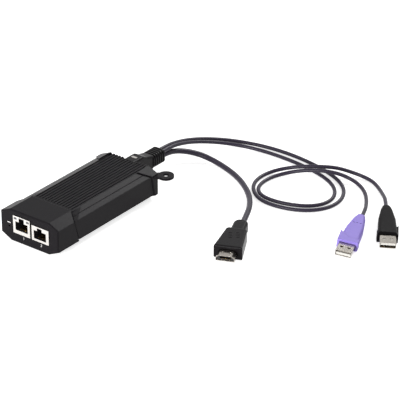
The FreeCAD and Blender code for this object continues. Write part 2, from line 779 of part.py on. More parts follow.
def resetSwitch():
    """A side-acting switch whose plunger stands behind the pinhole."""
    front = f"{frontFace} + front_wall + switch_setback"
    block = box("reset_block", "reset_across - switch_width / 2", front, "board_height",
                "switch_width", "switch_depth", "switch_height")
    bore = rod("reset_bore", "Y", "reset_across", f"{front} - cut_past", "reset_height",
               "plunger_diameter + 2 * plunger_clearance", "cut_past + switch_depth - switch_back_wall")
    keep(cut("reset_switch", block, [bore]), "reset_switch")
    plunger = rod("reset_plunger", "Y", "reset_across", f"{frontFace} + front_wall + plunger_wall_gap",
                  "reset_height", "plunger_diameter",
                  "switch_setback - plunger_wall_gap + switch_depth - switch_back_wall - plunger_end_gap")
    keep(plunger, "reset_plunger")


# Jacks

def jackMouth(name, prefix, start, depth):
    """The cavity with its stepped latch slot, as seen from the front."""
    left = f"{prefix}_cavity_left"
    right = f"({prefix}_cavity_left + {prefix}_cavity_width)"
    floor = f"(board_height + {prefix}_cavity_floor)"
    roof = f"({floor} + {prefix}_cavity_height)"
    slotLeft = f"{prefix}_latch_left"
    slotRight = f"({prefix}_latch_left + {prefix}_latch_width)"
    slotRoof = f"({roof} + {prefix}_latch_height)"
    corners = [(left, floor), (right, floor), (right, roof), (slotRight, roof), (slotRight, slotRoof),
               (slotLeft, slotRoof), (slotLeft, roof), (left, roof)]
    return prism(name, "front", corners, depth, ("0", start, "0"))


def lampBoxes(name, grow, front, depth):
    """The two status lamps of the taller jack, in its upper corners."""
    high = "board_height + jack_one_height - lamp_top_gap - lamp_height"
    lefts = ("jack_one_left + jack_sheet + lamp_side_gap",
             "jack_one_left + jack_width - jack_sheet - lamp_side_gap - lamp_width")
    return [box(f"{name}_{i + 1}", f"{left} - ({grow})", front, f"{high} - ({grow})",
                f"lamp_width + 2 * ({grow})", depth, f"lamp_height + 2 * ({grow})")
            for i, left in enumerate(lefts)]


def modularJack(number, prefix):
    left = f"jack_{prefix}_left"
    height = f"jack_{prefix}_height"
    front = f"({frontFace} - jack_proud)"
    name = f"jack_{number}"
    outer = box(name + "_outer", left, front, "board_height", "jack_width", "jack_depth", height)
    inner = box(name + "_inner", f"{left} + jack_sheet", f"{front} + jack_sheet", "board_height + jack_sheet",
                "jack_width - 2 * jack_sheet", "jack_depth", f"{height} - 2 * jack_sheet")
    mouths = [jackMouth(name + "_shield_mouth", prefix, f"{front} - cut_past", "2 * cut_past")]
    if prefix == "one":
        mouths += lampBoxes(name + "_shield_lamp", "insert_gap", f"{front} - cut_past", "2 * cut_past")
    keep(cut(name + "_shield", outer, [inner] + mouths), name + "_shield")

    start = f"{front} + jack_sheet + insert_gap"
    fit = "(jack_sheet + insert_gap)"
    block = box(name + "_block", f"{left} + {fit}", start, f"board_height + {fit}", f"jack_width - 2 * {fit}",
                "insert_depth", f"{height} - 2 * {fit}")
    holes = [jackMouth(name + "_insert_mouth", prefix, f"{front} - cut_past", "cavity_depth + cut_past")]
    if prefix == "one":
        holes += lampBoxes(name + "_insert_lamp", "insert_gap", f"{front} - cut_past",
                           "lamp_depth + cut_past + insert_gap")
    keep(cut(name + "_insert", block, holes), name + "_insert")

    # The springs rise towards the rear from the floor of the cavity.
    springs = []
    low = f"board_height + {prefix}_cavity_floor + contact_lift"
    middle = f"({prefix}_cavity_left + {prefix}_cavity_width / 2)"
    for i in range(int(size("contact_count"))):
        across = f"{middle} + ({i} - (contact_count - 1) / 2) * contact_pitch - contact_width / 2"
        spring = box(f"{name}_spring_{i + 1}", across, f"{front} + contact_setback", low,
                     "contact_width", "contact_length", "contact_thickness")
        spring.Placement.Rotation = Rotation(Vector(1, 0, 0), size("contact_slope"))
        springs.append(spring)
    item = document.addObject("Part::Compound", name + "_contacts")
    item.Links = springs
    keep(item, name + "_contacts")


def jackLamps():
    item = document.addObject("Part::Compound", "jack_1_lamps")
    item.Links = lampBoxes("jack_lamp", "0", f"({frontFace} - jack_proud)", "lamp_depth")
    keep(item, "jack_1_lamps")


# Strain relief and cords

def cableGland():
    front = f"{halfLength} - gland_front"
    blockEnd = f"{halfLength} + gland_block_end"
    corners = [
        (front, "gland_floor"),
        (f"{halfLength} + relief_start", "gland_floor"),
        (f"{halfLength} + relief_start", "relief_top"),
        (f"{halfLength} + gland_slope_end", "gland_slope_top"),
        (blockEnd, "gland_top"),
        (front, "gland_top"),
    ]
    stem = prism("gland_stem", "side", corners, "gland_width", ("-gland_width / 2", "0", "0"))
    top = size("gland_top")
    smooth = rounded("gland_smooth", stem, "gland_edge_radius",
                     lambda middle, direction: middle.z > size("relief_top") and (
                         abs(direction.x) < 1e-6 or middle.z > top - 1e-3))
    tip = middleBox("relief_block", f"{halfLength} + relief_start", "gland_floor", "relief_width",
                    "relief_end - relief_start", "relief_top - gland_floor")
    tipRound = rounded("relief_round", tip, "relief_radius", lambda middle, direction: along(direction, "y"))
    core = middleBox("relief_core", f"{halfLength} + relief_start - cut_past", "gland_floor + ring_depth",
                     "relief_width - 2 * ring_depth", "relief_end - relief_start + 2 * cut_past",
                     "relief_top - gland_floor - 2 * ring_depth")
    coreRound = rounded("relief_core_round", core, "relief_radius", lambda middle, direction: along(direction, "y"))
    rings = []
    for i in range(int(size("ring_count"))):
        rings.append(middleBox(f"ring_slot_{i + 1}", f"{halfLength} + relief_start + ring_first + {i} * ring_pitch",
                               "gland_floor - cut_past", "relief_width + 2 * cut_past", "ring_groove",
                               "relief_top - gland_floor + 2 * cut_past"))
    slots = cut("relief_slots", join("ring_slots", rings), [coreRound])
    ringed = cut("relief_ringed", tipRound, [slots])
    flange = middleBox("gland_flange", f"{halfLength} - rear_wall - gland_seat_gap - flange_depth",
                       "board_height + gland_seat_gap", "flange_width", "flange_depth",
                       "flange_top - board_height - gland_seat_gap")
    solid = join("gland_solid", [smooth, ringed, flange])
    windowY = f"{halfLength} + window_back - window_depth / 2"
    windowZ = "gland_top + window_proud - window_thickness"
    seat = middleBox("window_seat", windowY, windowZ, "window_width", "window_depth", "window_thickness + cut_past")
    keep(cut("cable_gland", solid, [seat]), "cable_gland")
    window = middleBox("indicator_window", windowY, windowZ, "window_width", "window_depth", "window_thickness")
    keep(window, "indicator_window")


def cordTube(name, route, diameter):
    """Straight runs joined by arcs, each arc as large as its two runs allow."""
    points = [Vector(*point) for point in route]
    edges = []
    radii = []
    here = points[0]
    for before, point, after in zip(points, points[1:], points[2:]):
        intoRun = point - before
        outRun = after - point
        turn = intoRun.getAngle(outRun)
        reach = 0.45 * min(intoRun.Length, outRun.Length)
        radii.append(reach / math.tan(turn / 2))
        intoRun.normalize()
        outRun.normalize()
        start = point - intoRun * reach
        end = point + outRun * reach
        middleWay = (outRun - intoRun).normalize()
        bulge = point + middleWay * (radii[-1] / math.cos(turn / 2) - radii[-1])
        edges.append(Part.LineSegment(here, start).toShape())
        edges.append(Part.Arc(start, bulge, end).toShape())
        here = end
    edges.append(Part.LineSegment(here, points[-1]).toShape())
    path = Part.Wire(edges)
    ring = Part.Wire([Part.Circle(points[0], points[1] - points[0], size(diameter) / 2).toShape()])
    item = document.addObject("Part::Feature", name)
    item.Shape = path.makePipeShell([ring], True, True)
    expected = math.pi * size(diameter) ** 2 / 4 * path.Length
    print(name, "length", round(path.Length, 1), "smallest radius", round(min(radii), 1),
          "volume ratio", round(item.Shape.Volume / expected, 4))
    print(name, "radii", [round(radius, 1) for radius in radii])
    keep(item, name)


# Plugs, each drawn from its cord entry with +X towards its tip and +Z up

def layPlug(item, route, yaw, roll, axisHeight):
    """The cord enters at the route's end, and the plug is rolled about the cord's axis there."""
    turn = Rotation(Vector(0, 0, 1), size(yaw) - 90) * Rotation(Vector(1, 0, 0), roll)
    place = Vector(*route[-1]) - turn.multVec(Vector(0, 0, axisHeight))
    item.Placement.Rotation = turn
    item.Placement.Base = place


def videoSection(inset):
    """The video shell's section: full width below, stepped in to the narrow side on top."""
    wide = f"(video_shell_width / 2 - ({inset}))"
    narrow = f"(video_shell_narrow / 2 - ({inset}) / 2)"
    low = f"(video_shell_floor + ({inset}))"
    step = f"(video_shell_floor + video_shell_step - ({inset}) / 3)"
    high = f"(video_shell_floor + video_shell_height - ({inset}))"
    return [(f"-{wide}", low), (wide, low), (wide, step), (narrow, high), (f"-{narrow}", high), (f"-{wide}", step)]


def videoCollar(name, inset):
    """The round-ended collar that the cord runs into."""
    start = f"({inset})"
    end = "(video_collar_length + video_collar_sink)"
    half = f"(video_collar_width / 2 - ({inset}))"
    corners = [(start, f"-{half}"), (end, f"-{half}"), (end, half), (start, half)]
    block = prism(name + "_block", "plan", corners, f"video_collar_height - 2 * ({inset})", ("0", "0", inset))
    ended = rounded(name + "_ended", block, "video_collar_radius",
                    lambda middle, direction: along(direction, "z") and middle.x < 1)
    return rounded(name, ended, "video_collar_edge",
                   lambda middle, direction: abs(direction.z) < 1e-6 and middle.x < size("video_collar_length"))


def videoPlug():
    gripStart = "video_collar_length"
    gripEnd = "(video_collar_length + video_grip_length)"
    collar = videoCollar("video_collar", "0")
    groove = middleBox("video_groove_band", "0", "0", "video_collar_width + 2 * cut_past",
                       "video_collar_groove", "2 * video_collar_height")
    groove.Placement.Rotation = Rotation(Vector(0, 0, 1), 90)
    moveTo(groove, "video_groove_start + video_collar_groove", "-video_collar_width / 2 - cut_past",
           "video_collar_height / 2")
    core = videoCollar("video_collar_core", "video_collar_groove")
    grooved = cut("video_collar_grooved", collar, [cut("video_groove", groove, [core])])
    gripCorners = [
        (gripStart, "-video_grip_back_width / 2"),
        (gripEnd, "-video_grip_front_width / 2"),
        (gripEnd, "video_grip_front_width / 2"),
        (gripStart, "video_grip_back_width / 2"),
    ]
    grip = prism("video_grip_block", "plan", gripCorners, "video_grip_height")
    shouldered = rounded("video_grip_shouldered", grip, "video_shoulder_radius",
                         lambda middle, direction: along(direction, "z")
                         and middle.x < size("video_collar_length") + 1)
    height = size("video_grip_height")
    gripRound = rounded("video_grip_round", shouldered, "video_grip_radius",
                        lambda middle, direction: abs(direction.z) < 1e-6
                        and (abs(middle.z) < 1e-6 or abs(middle.z - height) < 1e-6))
    solid = join("video_grip_solid", [grooved, gripRound])
    start = f"{gripEnd} - video_shell_root"
    length = "video_shell_root + video_shell_length"
    outer = prism("video_shell_outer", "side", videoSection("0"), length, (start, "0", "0"))
    bore = prism("video_shell_bore", "side", videoSection("shell_sheet"), length,
                 (f"{start} + shell_sheet", "0", "0"))
    dents = []
    for side, sign in (("left", "-"), ("right", "")):
        dents.append(box(f"video_dent_{side}", f"{gripEnd} + video_dent_setback",
                         f"{sign}video_dent_spacing / 2 - video_dent_width / 2",
                         "video_shell_floor + video_shell_height - video_dent_depth",
                         "video_dent_length", "video_dent_width", "video_dent_depth + cut_past"))
    seat = prism("video_shell_seat", "side", videoSection("-insert_gap"), "video_shell_root + seat_overlap",
                 (f"{start} - insert_gap", "0", "0"))
    grip = keep(cut("video_plug_grip", solid, [seat]), "video_plug_grip")
    shell = keep(cut("video_plug_shell", outer, [bore] + dents), "video_plug_shell")

    liner = prism("video_liner", "side", videoSection("shell_sheet + insert_gap"),
                  f"{length} - shell_sheet - video_liner_setback",
                  (f"{start} + shell_sheet + insert_gap", "0", "0"))
    mouthWidth = "(video_shell_narrow - 2 * (shell_sheet + video_mouth_rim))"
    mouthFloor = "video_shell_floor + video_shell_height / 2 - video_mouth_height / 2"
    mouth = box("video_mouth", f"{gripEnd} + seat_overlap", f"-{mouthWidth} / 2", mouthFloor, length,
                mouthWidth, "video_mouth_height")
    insert = keep(cut("video_plug_insert", liner, [mouth]), "video_plug_insert")
    strips = []
    for row, level in (("low", mouthFloor), ("high", f"{mouthFloor} + video_mouth_height - video_contact_thickness")):
        count = f"video_{row}_contacts"
        for i in range(int(size(count))):
            across = f"({i} - ({count} - 1) / 2) * video_contact_pitch - video_contact_width / 2"
            strips.append(box(f"video_strip_{row}_{i + 1}", f"{gripEnd} + video_contact_setback", across, level,
                              "video_shell_length - 2 * video_contact_setback", "video_contact_width",
                              "video_contact_thickness"))
    contacts = document.addObject("Part::Compound", "video_plug_contacts")
    contacts.Links = strips
    keep(contacts, "video_plug_contacts")
    for item in (grip, shell, insert, contacts):
        layPlug(item, videoRoute, "video_yaw", 0, size("video_collar_height") / 2)


def flatGrip(name):
    """A teardrop grip with a raised band at its front that steps out on one side only."""
    end = "flat_grip_length"
    outline = [
        ("0", "-flat_grip_back_width / 2"), ("flat_grip_waist", "-flat_grip_waist_width / 2"),
        ("flat_grip_swell", "-flat_grip_swell_width / 2"), (end, "-flat_grip_front_width / 2"),
        (end, "flat_grip_front_width / 2"), ("flat_grip_swell", "flat_grip_swell_width / 2"),
        ("flat_grip_waist", "flat_grip_waist_width / 2"), ("0", "flat_grip_back_width / 2"),
    ]
    block = prism(name + "_block", "plan", outline, "flat_grip_height")
    bends = (size("flat_grip_waist"), size("flat_grip_swell"))
    bent = rounded(name + "_bent", block, "flat_grip_bend_radius",
                   lambda middle, direction: along(direction, "z")
                   and min(abs(middle.x - bend) for bend in bends) < 1e-3)
    shouldered = rounded(name + "_shouldered", bent, "flat_grip_radius",
                         lambda middle, direction: along(direction, "z") and middle.x < 1e-3)
    height = size("flat_grip_height")
    smooth = rounded(name + "_smooth", shouldered, "flat_grip_radius",
                     lambda middle, direction: abs(direction.z) < 1e-6
                     and (abs(middle.z) < 1e-6 or abs(middle.z - height) < 1e-6))
    bandCorners = [
        ("flat_band_start", "-flat_band_side"), (end, "-flat_grip_front_width / 2 - flat_band_lift"),
        (end, "flat_grip_front_width / 2 + flat_band_lift"),
        ("flat_band_middle", "flat_grip_front_width / 2 + flat_band_lift"), ("flat_band_middle", "0"),
        ("flat_band_bend", "-flat_grip_swell_width / 3"),
    ]
    band = prism(name + "_band_block", "plan", bandCorners, "flat_grip_height + flat_band_lift - flat_band_foot",
                 ("0", "0", "flat_band_foot"))
    top = height + size("flat_band_lift")
    bandRound = rounded(name + "_band", band, "flat_band_radius",
                        lambda middle, direction: abs(direction.z) < 1e-6 and abs(middle.y) > 6
                        and (abs(middle.z - top) < 1e-6 or abs(middle.z - size("flat_band_foot")) < 1e-6))
    slots = [box(f"{name}_slot_{i + 1}", "flat_slot_place", f"({i} - 1) * flat_slot_pitch - flat_slot_width / 2",
                 "flat_grip_height - flat_slot_depth", "flat_slot_length", "flat_slot_width",
                 "flat_slot_depth + cut_past") for i in range(3)]
    return cut(name + "_slotted", join(name + "_banded", [smooth, bandRound]), slots)


def flatPlug(colour, route, yaw, roll):
    """A grip with a flat shielded plug, its tongue and its contact pads."""
    name = colour + "_plug"
    end = "flat_grip_length"
    start = f"{end} - flat_shell_root"
    seat = box(name + "_seat", f"{start} - insert_gap", "-flat_shell_width / 2 - insert_gap",
               "flat_shell_floor - insert_gap", "flat_shell_root + seat_overlap",
               "flat_shell_width + 2 * insert_gap", "flat_shell_height + 2 * insert_gap")
    grip = keep(cut(name + "_grip", flatGrip(name), [seat]), name + "_grip")

    outer = box(name + "_shell_outer", start, "-flat_shell_width / 2", "flat_shell_floor",
                "flat_shell_root + flat_shell_length", "flat_shell_width", "flat_shell_height")
    outerRound = rounded(name + "_shell_round", outer, "shell_sheet",
                         lambda middle, direction: along(direction, "x"))
    bore = box(name + "_shell_bore", f"{start} + shell_sheet", "-flat_shell_width / 2 + shell_sheet",
               "flat_shell_floor + shell_sheet", "flat_shell_root + flat_shell_length",
               "flat_shell_width - 2 * shell_sheet", "flat_shell_height - 2 * shell_sheet")
    windows = []
    for side, sign in (("left", "-"), ("right", "")):
        windows.append(box(f"{name}_window_{side}", f"{end} + flat_window_setback",
                           f"{sign}flat_window_spacing / 2 - flat_window_size / 2",
                           "flat_shell_floor - cut_past", "flat_window_size", "flat_window_size",
                           "flat_shell_height + 2 * cut_past"))
    shell = keep(cut(name + "_shell", outerRound, [bore] + windows), name + "_shell")

    fit = "(shell_sheet + insert_gap)"
    root = box(name + "_root", f"{start} + {fit}", f"-flat_shell_width / 2 + {fit}", f"flat_shell_floor + {fit}",
               "flat_shell_root", f"flat_shell_width - 2 * {fit}", f"flat_shell_height - 2 * {fit}")
    tongue = box(name + "_blade", f"{start} + {fit}", f"-flat_shell_width / 2 + {fit}", f"flat_shell_floor + {fit}",
                 f"flat_shell_root + flat_shell_length - tongue_setback - {fit}",
                 f"flat_shell_width - 2 * {fit}", "tongue_thickness")
    insert = keep(join(name + "_tongue", [root, tongue]), name + "_tongue")
    pads = [box(f"{name}_pad_{i + 1}", f"{end} + pad_setback",
                f"({i} - (pad_count - 1) / 2) * pad_pitch - pad_width / 2",
                f"flat_shell_floor + {fit} + tongue_thickness", "pad_length", "pad_width", "pad_thickness")
            for i in range(int(size("pad_count")))]
    contacts = document.addObject("Part::Compound", name + "_contacts")
    contacts.Links = pads
    keep(contacts, name + "_contacts")
    for item in (grip, shell, insert, contacts):
        layPlug(item, route, yaw, size(roll), size("flat_grip_height") / 2)


frontCap()
rearCap()
coverWalls = coverRing()
topCover(coverWalls)
bottomCover(coverWalls)
coverScrews()
mainBoard()
modularJack(1, "one")
modularJack(2, "two")
jackLamps()
resetSwitch()
chip("video_chip", "video_chip_across", f"{frontFace} + video_chip_along",
     "video_chip_size", "video_chip_size", "video_chip_height")
chip("network_chip", "network_chip_across", f"{frontFace} + network_chip_along",
     "network_chip_size", "network_chip_size", "network_chip_height")
chip("line_transformer", "transformer_across", f"{frontFace} + transformer_along",
     "transformer_length", "transformer_width", "transformer_height")
chip("clock_crystal", "crystal_across", f"{frontFace} + crystal_along",
     "crystal_length", "crystal_width", "crystal_height")
capacitors()
cableHeader()
cableGland()
cordTube("video_cord", videoRoute, "video_cord_diameter")
cordTube("upper_cord", upperRoute, "thin_cord_diameter")
cordTube("lower_cord", lowerRoute, "thin_cord_diameter")
videoPlug()
flatPlug("purple", lowerRoute, "purple_yaw", "purple_roll")
flatPlug("black", upperRoute, "black_yaw", "black_roll")
document.recompute()

faults = [item.Name for item in document.Objects if {"Invalid", "Error"} & set(item.State)]
for piece in pieces:
    if piece.Shape.isNull() or not piece.Shape.isValid():
        faults.append(piece.Label + " shape")
if faults:
    raise RuntimeError("failed objects: " + ", ".join(faults))
os.makedirs("parts", exist_ok=True)
for piece in pieces:
    piece.Shape.exportStep(f"parts/{piece.Label}.step")
print(len(pieces), "sub-parts written")
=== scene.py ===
import math

import bmesh
import bpy
from mathutils import Matrix, Vector


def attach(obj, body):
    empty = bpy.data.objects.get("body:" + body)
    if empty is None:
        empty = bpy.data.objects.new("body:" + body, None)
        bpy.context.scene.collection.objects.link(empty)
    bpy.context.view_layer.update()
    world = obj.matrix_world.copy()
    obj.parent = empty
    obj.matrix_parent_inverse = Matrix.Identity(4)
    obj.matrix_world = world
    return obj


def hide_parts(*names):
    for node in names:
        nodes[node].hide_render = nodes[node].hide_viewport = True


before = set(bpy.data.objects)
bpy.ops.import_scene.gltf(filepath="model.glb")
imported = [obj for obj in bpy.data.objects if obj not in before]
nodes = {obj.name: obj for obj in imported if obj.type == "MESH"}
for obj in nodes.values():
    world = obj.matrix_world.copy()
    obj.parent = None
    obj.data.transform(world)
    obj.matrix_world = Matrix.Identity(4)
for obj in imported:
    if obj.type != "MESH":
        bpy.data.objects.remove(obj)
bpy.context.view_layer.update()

# Console extender module: materials, printed marks, cords and studio around the CAD frame.
# Metres. The jack face looks along -Y, the cords leave along +Y, +Z is up.

module = "module"
print("frame loaded:", len(nodes), "nodes")


# Camera

viewpoint = {
    "place": (0.95176, -1.09684, 0.78601),
    "tilt": 61.98,  # degrees from straight down
    "turn": 37.47,  # degrees about the vertical
    "lens": 199.56,
    "sensor": 36.0,
    "reach": 20,  # how far it sees
}


def addCamera(settings):
    data = bpy.data.cameras.new("photoCamera")
    data.lens = settings["lens"]
    data.sensor_width = settings["sensor"]
    data.clip_end = settings["reach"]
    camera = bpy.data.objects.new("photoCamera", data)
    camera.location = settings["place"]
    camera.rotation_euler = (math.radians(settings["tilt"]), 0, math.radians(settings["turn"]))
    bpy.context.scene.collection.objects.link(camera)
    bpy.context.scene.camera = camera


addCamera(viewpoint)
print("camera placed")


# Soft mouldings: each takes its CAD solid's place, with edges as round as PVC leaves the mould

mouldings = {  # skin is the cell of the new surface, and passes is how often it is smoothed
    "cable_gland": {"skin": 0.00028, "passes": 3, "slot": "rubber_black"},
    "video_plug_grip": {"skin": 0.00028, "passes": 4, "slot": "rubber_black"},
    "black_plug_grip": {"skin": 0.00025, "passes": 4, "slot": "rubber_black",
                        "plug": {"end": (0.17716, 0.14152, 0.0049), "yaw": 34.5, "roll": 177}},
    "purple_plug_grip": {"skin": 0.00025, "passes": 4, "slot": "grip_purple",
                         "plug": {"end": (0.17023, 0.11852, 0.0047), "yaw": 20.5, "roll": -6}},
}
band = {
    "side": -0.0076,  # the grip's side, which the band stands out from
    "start": 0.0295,
    "full": 0.034,    # the band has its full height from here on
    "left": 0.45,     # share of its height that is left at its start
    "axis": 0.0041,   # height of the cord's axis in the plug
}


# From a flat plug's own frame, cord end at the origin and +X towards the mouth, to the part's.
def plugFrame(plug):
    return (Matrix.Translation(plug["end"])
            @ Matrix.Rotation(math.radians(plug["yaw"] - 90), 4, "Z")
            @ Matrix.Rotation(math.radians(plug["roll"]), 4, "X")
            @ Matrix.Translation((0, 0, -band["axis"])))


# Blunts the start of the one-sided band on a flat plug's grip.
def bluntBand(data, plug):
    place = plugFrame(plug)
    back = place.inverted()
    for vertex in data.vertices:
        spot = back @ vertex.co
        if spot.y < band["side"]:
            ramp = min(max((spot.x - band["start"]) / (band["full"] - band["start"]), 0), 1)
            share = band["left"] + (1 - band["left"]) * ramp
            spot.y = band["side"] + (spot.y - band["side"]) * share
            vertex.co = place @ spot


# A copy of the CAD solid with a new surface, smoothed so that its edges turn round.
def soften(node, look):
    data = nodes[node].data.copy()
    data.name = node + "_soft"
    if "plug" in look:
        bluntBand(data, look["plug"])
    piece = bpy.data.objects.new(node + "_soft", data)
    bpy.context.scene.collection.objects.link(piece)
    skin = piece.modifiers.new("softSkin", "REMESH")
    skin.mode = "VOXEL"
    skin.voxel_size = look["skin"]
    skin.use_smooth_shade = True
    edges = piece.modifiers.new("roundEdges", "SMOOTH")
    edges.iterations = look["passes"]
    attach(piece, module)
    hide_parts(node)
    return piece


softPieces = {node: soften(node, look) for node, look in mouldings.items()}
print("soft mouldings made:", len(softPieces))


# Cords, each a smooth line through the strain relief's end to its plug

cordLine = {"around": 7, "along": 10, "order": 3}  # how finely the lines are divided
cords = {
    "video_cord": {
        "diameter": 0.0044,
        "length": 0.1662,
        "plug": "video_plug",
        "points": [
            (0.0002, 0.093, 0.013), (0.0002, 0.1015, 0.013), (0.0014, 0.112, 0.0112),
            (0.0062, 0.122, 0.008), (0.014, 0.1278, 0.0052), (0.025, 0.1294, 0.003),
            (0.0403, 0.126, 0.0022), (0.0566, 0.119, 0.0022), (0.0708, 0.1095, 0.0022),
            (0.0826, 0.0986, 0.0022), (0.0918, 0.0864, 0.0032), (0.0996, 0.07268, 0.0048),
            (0.10632, 0.05707, 0.0048),
        ],
    },
    "upper_cord": {
        "diameter": 0.003,
        "length": 0.4745,
        "plug": "black_plug",
        "points": [
            (-0.0011, 0.093, 0.018), (-0.0011, 0.102, 0.018), (-0.002, 0.1155, 0.016),
            (-0.001, 0.133, 0.012), (0.0045, 0.149, 0.008), (0.0147, 0.1625, 0.0046),
            (0.0295, 0.1718, 0.0024), (0.0473, 0.1766, 0.0015), (0.0673, 0.1767, 0.0015),
            (0.0863, 0.1742, 0.0015), (0.1043, 0.1699, 0.0015), (0.1203, 0.1629, 0.0015),
            (0.1323, 0.1528, 0.0015), (0.1393, 0.1393, 0.0015), (0.1399, 0.1248, 0.0015),
            (0.1333, 0.1123, 0.0015), (0.1213, 0.1038, 0.0015), (0.1063, 0.0999, 0.0015),
            (0.0915, 0.1006, 0.0015), (0.0796, 0.1078, 0.0015), (0.0712, 0.1188, 0.0015),
            (0.0683, 0.1318, 0.0015), (0.0709, 0.144, 0.0019), (0.079, 0.1514, 0.0042),
            (0.0904, 0.1568, 0.007), (0.1024, 0.1633, 0.008), (0.113, 0.1704, 0.0074),
            (0.1223, 0.1764, 0.0042), (0.132, 0.1794, 0.0019), (0.142, 0.1774, 0.0015),
            (0.1516, 0.1709, 0.0015), (0.1606, 0.1624, 0.0028), (0.16895, 0.15347, 0.0049),
            (0.17716, 0.14152, 0.0049),
        ],
    },
    "lower_cord": {
        "diameter": 0.003,
        "length": 0.4291,
        "plug": "purple_plug",
        "points": [
            (0.0023, 0.093, 0.018), (0.0023, 0.102, 0.018), (0.0018, 0.1148, 0.016),
            (0.003, 0.1304, 0.012), (0.008, 0.1448, 0.008), (0.017, 0.157, 0.0046),
            (0.0305, 0.1652, 0.0024), (0.0473, 0.1688, 0.0015), (0.0663, 0.1686, 0.0015),
            (0.0843, 0.1667, 0.0015), (0.1013, 0.1632, 0.0015), (0.1163, 0.157, 0.0015),
            (0.1273, 0.1478, 0.0015), (0.1335, 0.136, 0.0015), (0.1327, 0.1238, 0.0015),
            (0.1252, 0.1142, 0.0015), (0.1128, 0.1082, 0.0015), (0.0993, 0.1056, 0.0015),
            (0.0872, 0.107, 0.0015), (0.0787, 0.114, 0.0015), (0.0752, 0.1242, 0.0015),
            (0.0756, 0.1354, 0.0015), (0.0796, 0.145, 0.0019), (0.088, 0.151, 0.0044),
            (0.099, 0.155, 0.0072), (0.1098, 0.1596, 0.008), (0.119, 0.1648, 0.0064),
            (0.1278, 0.1682, 0.0032), (0.137, 0.1664, 0.0015), (0.1466, 0.1592, 0.0015),
            (0.1544, 0.1496, 0.0015), (0.1606, 0.1396, 0.0029), (0.16564, 0.13079, 0.0047),
            (0.17023, 0.11852, 0.0047),
        ],
    },
}


def addCord(name, cord):
    curve = bpy.data.curves.new(name + "_line", "CURVE")
    curve.dimensions = "3D"
    curve.bevel_depth = 1.0  # each point's radius holds the real size, so the bounds are right
    curve.bevel_resolution = cordLine["around"]
    curve.use_fill_caps = True
    spline = curve.splines.new("NURBS")
    spline.points.add(len(cord["points"]) - 1)
    for target, point in zip(spline.points, cord["points"]):
        target.co = (*point, 1)
        target.radius = cord["diameter"] / 2
    spline.order_u = cordLine["order"]
    spline.use_endpoint_u = True
    spline.resolution_u = cordLine["along"]
    piece = bpy.data.objects.new(name + "_line", curve)
    bpy.context.scene.collection.objects.link(piece)
    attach(piece, module)
    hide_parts(name)
    return piece


cordPieces = [addCord(name, cord) for name, cord in cords.items()]
print("cords laid:", len(cordPieces))


# Materials

relief = {  # real height of each pattern, in metres
    "grain": 0.00006,
    "pores": 0.00005,
    "streaks": 0.00003,
    "copper": 0.00004,
}
edgeSamples = 6


# sRGB hex to the linear colour that shaders use.
def linear(code):
    parts = [int(code[i:i + 2], 16) / 255 for i in (1, 3, 5)]
    return [c / 12.92 if c <= 0.04045 else ((c + 0.055) / 1.055) ** 2.4 for c in parts] + [1.0]


# Texture scale for a pattern whose features are this many millimetres apart.
def perMillimetre(size):
    return 1000 / size


def addNode(tree, kind, settings=None, links=None):
    node = tree.nodes.new(kind)
    for name, value in (settings or {}).items():
        if isinstance(name, int) or name in node.inputs:
            node.inputs[name].default_value = value
        else:
            setattr(node, name, value)
    for name, socket in (links or {}).items():
        tree.links.new(socket, node.inputs[name])
    return node


def startMaterial(name, **sockets):
    material = bpy.data.materials.new(name)
    material.use_nodes = True
    tree = material.node_tree
    shader = tree.nodes["Principled BSDF"]
    for socket, value in sockets.items():
        shader.inputs[socket.replace("_", " ")].default_value = value
    return material, tree, shader


def objectPlace(tree):
    return addNode(tree, "ShaderNodeTexCoord").outputs["Object"]


def addNoise(tree, place, size, detail=2.0, roughness=0.5):
    settings = {"Scale": perMillimetre(size), "Detail": detail, "Roughness": roughness}
    return addNode(tree, "ShaderNodeTexNoise", settings, {"Vector": place}).outputs["Fac"]


# Blends the finish's two close shades by a pattern.
def blendShades(tree, look, pattern):
    settings = {"data_type": "RGBA", 6: linear(look["colour"]), 7: linear(look["colourHigh"])}
    return addNode(tree, "ShaderNodeMix", settings, {0: pattern}).outputs[2]


# Lets a pattern move the roughness between the finish's two limits.
def varyRoughness(tree, shader, pattern, limits, span=(0.3, 0.7)):
    settings = {"From Min": span[0], "From Max": span[1], "To Min": limits[0], "To Max": limits[1]}
    rough = addNode(tree, "ShaderNodeMapRange", settings, {"Value": pattern})
    tree.links.new(rough.outputs["Result"], shader.inputs["Roughness"])


# Raises a pattern on the surface, and keeps the normal given where edges are rounded.
def raisePattern(tree, shader, pattern, strength, height, normal=None):
    links = {"Height": pattern}
    if normal is not None:
        links["Normal"] = normal
    bump = addNode(tree, "ShaderNodeBump", {"Strength": strength, "Distance": height}, links)
    tree.links.new(bump.outputs["Normal"], shader.inputs["Normal"])


def roundedNormal(tree, millimetres):
    settings = {"samples": edgeSamples, "Radius": millimetres / 1000}
    return addNode(tree, "ShaderNodeBevel", settings).outputs["Normal"]


